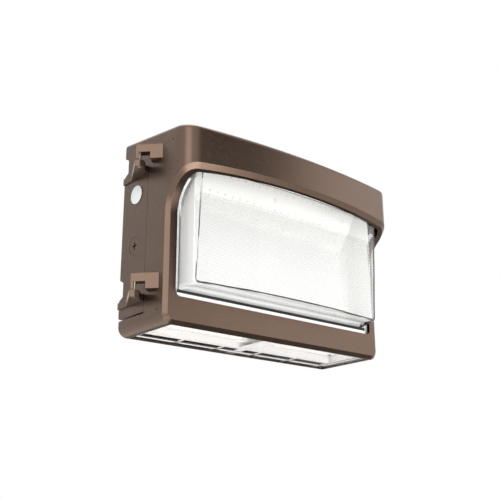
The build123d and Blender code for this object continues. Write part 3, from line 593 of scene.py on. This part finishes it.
def card(name, place, target, size, shade, feather=0.4):
    # matte studio card with feathered edges that faces a point, hidden from the camera
    mat = newMaterial(name + "_paper")
    point = addNode(mat, "ShaderNodeTexCoord").outputs["Object"]
    spot = addNode(mat, "ShaderNodeMapping", {"Vector": point, "Scale": (2, 2, 2)})
    fade = addNode(mat, "ShaderNodeTexGradient", {"Vector": spot.outputs[0]}, gradient_type="SPHERICAL")
    solid = addNode(mat, "ShaderNodeMapRange", {"Value": fade.outputs["Fac"], "From Max": feather},
                    interpolation_type="SMOOTHSTEP")
    clear = addNode(mat, "ShaderNodeBsdfTransparent")
    paper = addNode(mat, "ShaderNodeBsdfDiffuse", {"Color": colour(shade)})
    mixed = addNode(mat, "ShaderNodeMixShader", {0: solid.outputs[0], 1: clear.outputs[0],
                                                 2: paper.outputs[0]})
    addNode(mat, "ShaderNodeOutputMaterial", {"Surface": mixed.outputs[0]})
    bpy.ops.mesh.primitive_plane_add(size=1, location=place)
    made = bpy.context.object
    made.name = name
    made.scale = (*size, 1)
    made.rotation_euler = (Vector(target) - Vector(place)).to_track_quat("Z", "Y").to_euler()
    made.data.materials.append(mat)
    made.visible_camera = False


def studio():
    room = {"floor": "#F2F2F2", "floorSize": 12, "floorHeight": -1.2, "centre": (0, -0.07, 0)}
    lamps = {  # place, size, watts
        "lamp_left": ((-1.6, -1.06, 0.54), (0.9, 1.4), 6.5),
        "lamp_right": ((1.48, -1.29, 0.62), (1.4, 1.2), 3.2),
        "lamp_top": ((0, 0.1, 1.8), (1.6, 1.2), 17),
        "lamp_low": ((-0.3, -1.35, -0.55), (1.6, 0.9), 17),
        "lamp_under": ((-0.35, 0.1, -1.1), (0.7, 0.9), 11),
    }
    cards = {  # place, what it faces, size, shade, feather
        "flag_front": ((0.3, -1.15, 0.68), room["centre"], (1.5, 1.25), "#0A0A0A", 0.75),
        "flag_below": ((0.8, -0.42, -1.1), (0.8, -0.42, 0), (1.9, 1.3), "#0A0A0A", 0.3),
        "flag_behind": ((1.0, 1.2, -0.84), (0, 0, -0.84), (1.9, 1.1), "#0A0A0A"),
        "flag_left": ((-0.9, 0.94, 0.4), room["centre"], (1.7, 1.5), "#C4C4C4"),
    }
    floorMat = newMaterial("pale_floor")  # matte painted floor
    matte = addNode(floorMat, "ShaderNodeBsdfDiffuse", {"Color": colour(room["floor"])})
    addNode(floorMat, "ShaderNodeOutputMaterial", {"Surface": matte.outputs[0]})
    bpy.ops.mesh.primitive_plane_add(size=room["floorSize"], location=(0, 0, room["floorHeight"]))
    floor = bpy.context.object
    floor.name = "studio_floor"
    floor.data.materials.append(floorMat)
    for name, (place, size, power) in lamps.items():
        areaLamp(name, place, room["centre"], size, power)
    for name, settings in cards.items():
        card(name, *settings)

    world = bpy.data.worlds.new("studio_world")
    bpy.context.scene.world = world
    world.use_nodes = True
    world.node_tree.nodes.clear()
    white = addNode(world, "ShaderNodeBackground", {"Color": (1, 1, 1, 1), "Strength": 1.0})
    addNode(world, "ShaderNodeOutputWorld", {"Surface": white.outputs[0]})


def camera():
    view = {"place": (-0.6912, -0.8723, -0.3602), "yaw": 39.55, "pitch": 18.60, "roll": 0.22,
            "lens": 59.77, "sensor": 36.0, "shift": (0.0007, 0.0024), "nearest": 0.01}
    data = bpy.data.cameras.new("photo_camera")
    data.lens, data.sensor_width = view["lens"], view["sensor"]
    data.shift_x, data.shift_y = view["shift"]
    data.clip_start = view["nearest"]
    cam = bpy.data.objects.new("photo_camera", data)
    cam.location = view["place"]
    cam.rotation_euler = [math.radians(a) for a in (90 + view["pitch"], view["roll"], -view["yaw"])]
    bpy.context.scene.collection.objects.link(cam)
    bpy.context.scene.camera = cam


studio()
camera()
bpy.context.scene.view_settings.view_transform = "Standard"
print("studio ready")
